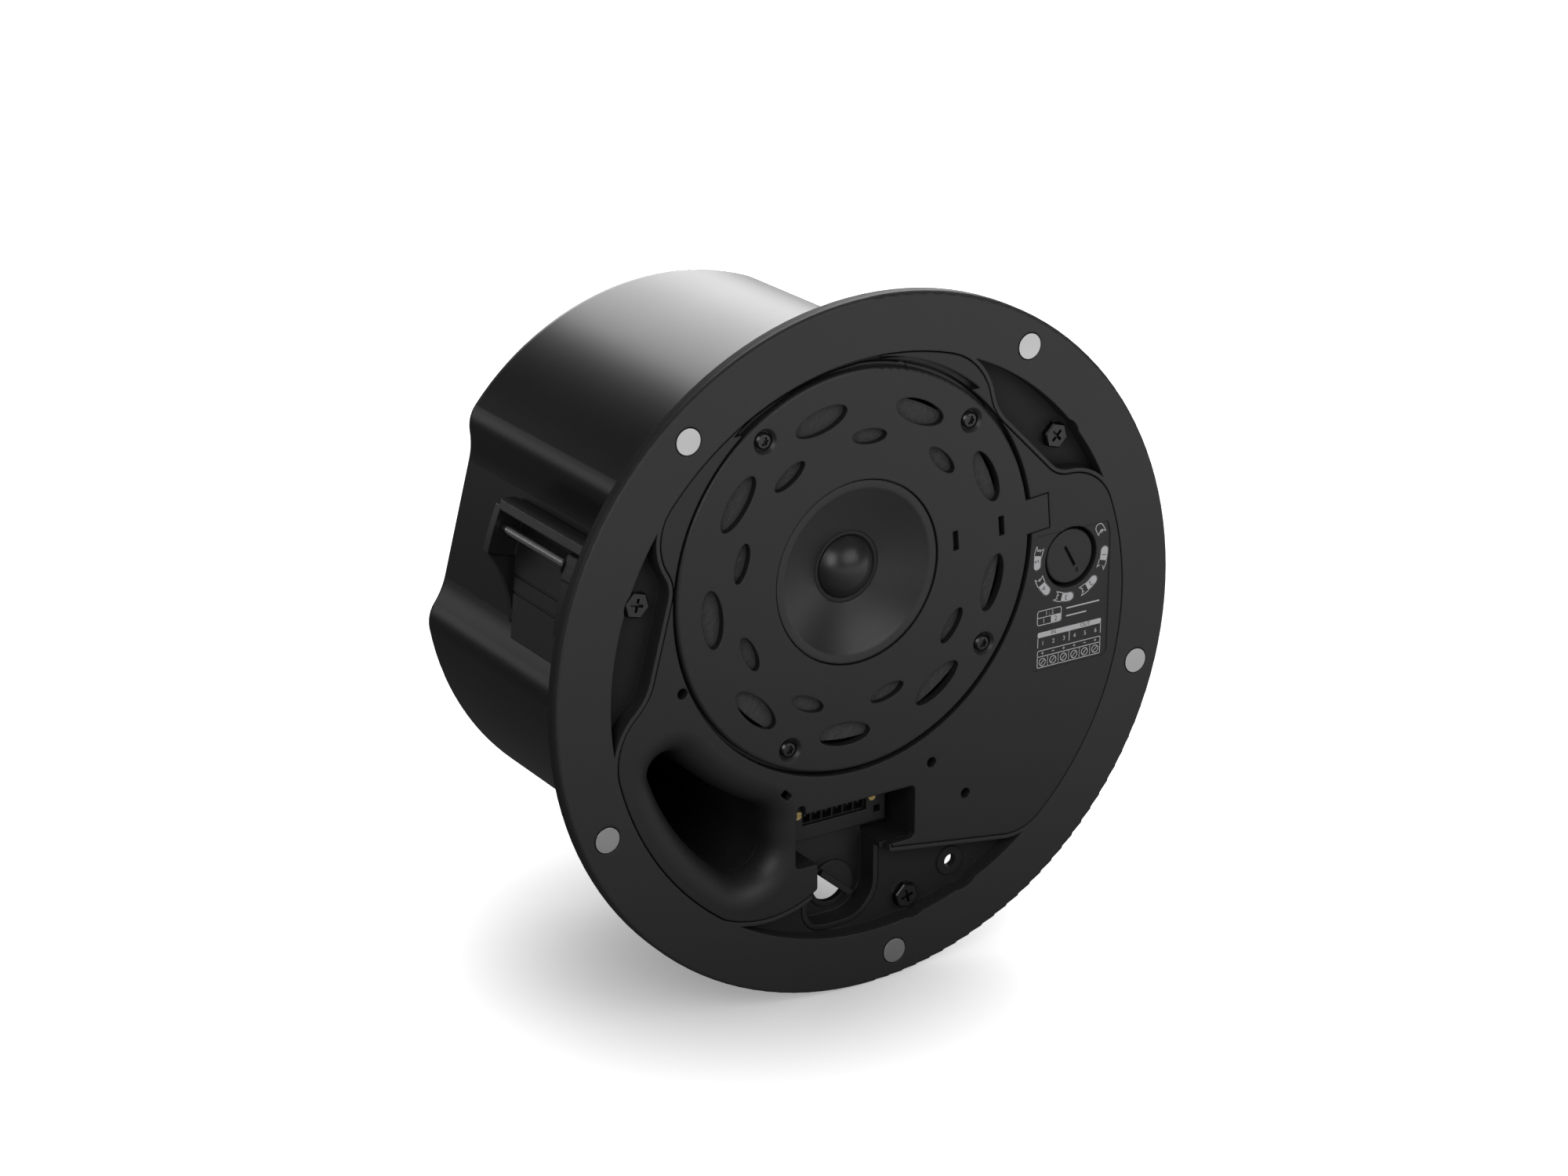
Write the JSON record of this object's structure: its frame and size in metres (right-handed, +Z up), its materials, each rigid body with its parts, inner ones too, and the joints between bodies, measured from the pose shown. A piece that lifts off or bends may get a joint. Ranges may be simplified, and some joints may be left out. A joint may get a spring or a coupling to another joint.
{
  "type": "ceiling speaker",
  "caption": "Round ceiling speaker: broad mounting flange, coaxial driver under a slotted disc, flared port, cable terminals, deep back can and swing-out clamps.",
  "frame": {"origin": "on the flange's axis, in the plane where the flange meets the ceiling panel", "axes": "+Y into the ceiling along the collar's axis, so the front faces -Y; +Z up as the selector's scale reads; +X to the right seen from the front"},
  "size_m": [0.24, 0.1371, 0.24],
  "materials": {
    "flange_paint": "fine grained dark grey",
    "baffle_plastic": "fine grained dark grey",
    "can_paint": "gloss black",
    "black_plastic": "moulded black",
    "dish_plastic": "satin",
    "bright_steel": "zinc plated",
    "black_zinc": "black zinc plated",
    "dark_steel": "black",
    "brass": "plated",
    "soft_rubber": "matt",
    "cloth": "woven",
    "felt": "needled",
    "cone_paper": "coated",
    "dome_film": "satin black",
    "ferrite": "sintered",
    "copper": "wound wire",
    "board": "laminate",
    "foam": "closed cell foam"
  },
  "bodies": {
    "speaker": {"mounting_flange": "flange_paint", "baffle": "baffle_plastic", "port_duct": "black_plastic", "back_can": "can_paint", "can_gasket": "foam", "cover_disc": "black_plastic", "cover_screws": "black_zinc", "acoustic_cloth": "cloth", "waveguide": "dish_plastic", "tweeter_surround": "soft_rubber", "tweeter_motor": "dark_steel", "basket": "dark_steel", "driver_screws": "dark_steel", "woofer_surround": "soft_rubber", "spider": "cloth", "top_plate": "bright_steel", "ring_magnet": "ferrite", "pole_yoke": "bright_steel", "steel_pads": "bright_steel", "tap_switch": "black_plastic", "terminal_tray": "black_plastic", "terminal_header": "black_plastic", "header_screws": "brass", "cable_clamp": "black_plastic", "crossover_board": "board", "board_pillars": "brass", "capacitors": "black_plastic", "inductors": "copper", "transformer_core": "bright_steel", "transformer_winding": "copper", "transformer_strap": "bright_steel", "damping_felt": "felt", "clamp_tower_1": "black_plastic", "clamp_tower_2": "black_plastic", "clamp_tower_3": "black_plastic"},
    "cone": {"woofer_cone": "cone_paper", "dust_cap": "cone_paper", "voice_coil": "copper"},
    "dome": {"tweeter_dome": "dome_film"},
    "selector": {"tap_knob": "black_plastic"},
    "screw_1": {"clamp_screw_1": "black_zinc"},
    "nut_1": {"clamp_nut_1": "black_zinc"},
    "arm_1": {"clamp_arm_1": "black_plastic"},
    "screw_2": {"clamp_screw_2": "black_zinc"},
    "nut_2": {"clamp_nut_2": "black_zinc"},
    "arm_2": {"clamp_arm_2": "black_plastic"},
    "screw_3": {"clamp_screw_3": "black_zinc"},
    "nut_3": {"clamp_nut_3": "black_zinc"},
    "arm_3": {"clamp_arm_3": "black_plastic"}
  },
  "joints": [
    {"name": "cone_travel", "type": "slide", "parent": "speaker", "child": "cone", "axis": [0, 1, 0], "range_m": [-0.003, 0.003], "stiffness_N_per_m": 800, "deforming": ["woofer_surround", "spider"]},
    {"name": "dome_travel", "type": "slide", "parent": "speaker", "child": "dome", "axis": [0, 1, 0], "range_m": [-0.0004, 0.0004], "stiffness_N_per_m": 40, "deforming": ["tweeter_surround"]},
    {"name": "tap_selector", "type": "hinge", "parent": "speaker", "child": "selector", "pos_m": [0.0783, 0, 0.0171], "axis": [0, 1, 0], "range_deg": [-88, 132]},
    {"name": "screw_turn_1", "type": "hinge", "parent": "speaker", "child": "screw_1", "pos_m": [0.07313, 0, 0.05985], "axis": [0, 1, 0], "continuous": true},
    {"name": "nut_travel_1", "type": "slide", "parent": "speaker", "child": "nut_1", "axis": [0, 1, 0], "range_m": [-0.0185, 0.042]},
    {"name": "arm_swing_1", "type": "hinge", "parent": "nut_1", "child": "arm_1", "pos_m": [0.07313, 0.032, 0.05985], "axis": [0, 1, 0], "range_deg": [0, 90]},
    {"name": "screw_turn_2", "type": "hinge", "parent": "speaker", "child": "screw_2", "pos_m": [-0.0884, 0, 0.0334], "axis": [0, 1, 0], "continuous": true},
    {"name": "nut_travel_2", "type": "slide", "parent": "speaker", "child": "nut_2", "axis": [0, 1, 0], "range_m": [-0.0185, 0.042]},
    {"name": "arm_swing_2", "type": "hinge", "parent": "nut_2", "child": "arm_2", "pos_m": [-0.0884, 0.032, 0.0334], "axis": [0, 1, 0], "range_deg": [0, 90]},
    {"name": "screw_turn_3", "type": "hinge", "parent": "speaker", "child": "screw_3", "pos_m": [0.01527, 0, -0.09326], "axis": [0, 1, 0], "continuous": true},
    {"name": "nut_travel_3", "type": "slide", "parent": "speaker", "child": "nut_3", "axis": [0, 1, 0], "range_m": [-0.0185, 0.042]},
    {"name": "arm_swing_3", "type": "hinge", "parent": "nut_3", "child": "arm_3", "pos_m": [0.01527, 0.032, -0.09326], "axis": [0, 1, 0], "range_deg": [0, 90]}
  ]
}
